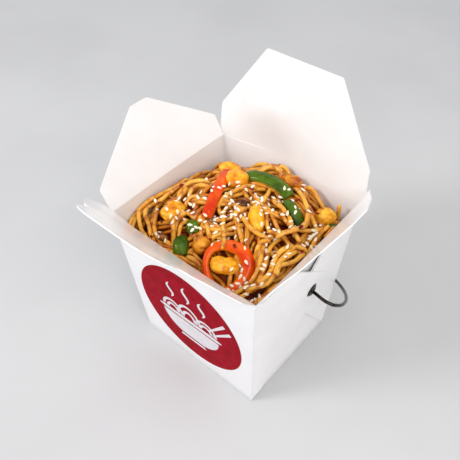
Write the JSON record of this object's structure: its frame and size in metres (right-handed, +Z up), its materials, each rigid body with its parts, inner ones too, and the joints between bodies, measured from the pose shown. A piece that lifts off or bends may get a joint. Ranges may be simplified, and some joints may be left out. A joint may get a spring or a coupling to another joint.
{
  "type": "noodle takeaway box",
  "caption": "Open folded card pail with lid flaps and a wire bail, heaped with sauced noodles, fried nuts, pepper strips and sesame seeds.",
  "frame": {"origin": "centre of the base's underside", "axes": "+Z up, -Y out of the printed front wall, +X out of the side wall on the right of someone facing the front"},
  "size_m": [0.1434, 0.1409, 0.1727],
  "materials": {
    "card": "smooth white coated card with a soft sheen",
    "wire": "dark brown lacquered steel wire",
    "noodle": "glossy with brown sauce",
    "nut": "fried golden, lightly glazed",
    "red_pepper": "wet and glossy",
    "green_pepper": "wet and glossy",
    "mushroom": "dark, coated in sauce"
  },
  "bodies": {
    "box": {"carton": "card", "noodles": "noodle", "nut_crown": "nut", "nut_back": "nut", "nut_left": "nut", "nut_centre": "nut", "nut_front": "nut", "nut_ring": "nut", "nut_right": "nut", "nut_rear": "nut", "red_pepper_ring": "red_pepper", "red_pepper_strip": "red_pepper", "green_pepper_arch": "green_pepper", "green_pepper_tail": "green_pepper", "green_pepper_left": "green_pepper", "green_pepper_front": "green_pepper", "green_pepper_right": "green_pepper", "mushroom_left": "mushroom", "mushroom_centre": "mushroom"},
    "front_flap": {"flap_front": "card"},
    "back_flap": {"flap_back": "card"},
    "left_flap": {"flap_left": "card"},
    "right_flap": {"flap_right": "card"},
    "bail": {"handle": "wire"}
  },
  "joints": [
    {"name": "front_flap_crease", "type": "hinge", "parent": "box", "child": "front_flap", "pos_m": [0, -0.04665, 0.1092], "axis": [1, 0, 0], "range_deg": [-33, 64.5]},
    {"name": "back_flap_crease", "type": "hinge", "parent": "box", "child": "back_flap", "pos_m": [0, 0.04665, 0.1092], "axis": [-1, 0, 0], "range_deg": [-5.5, 82.5]},
    {"name": "left_flap_crease", "type": "hinge", "parent": "box", "child": "left_flap", "pos_m": [-0.04975, 0, 0.1092], "axis": [0, -1, 0], "range_deg": [-90, 55]},
    {"name": "right_flap_crease", "type": "hinge", "parent": "box", "child": "right_flap", "pos_m": [0.04975, 0, 0.1092], "axis": [0, 1, 0], "range_deg": [-90, 55]},
    {"name": "bail_swing", "type": "hinge", "parent": "box", "child": "bail", "pos_m": [0, 0, 0.08], "axis": [1, 0, 0], "range_deg": [0, 62]}
  ]
}
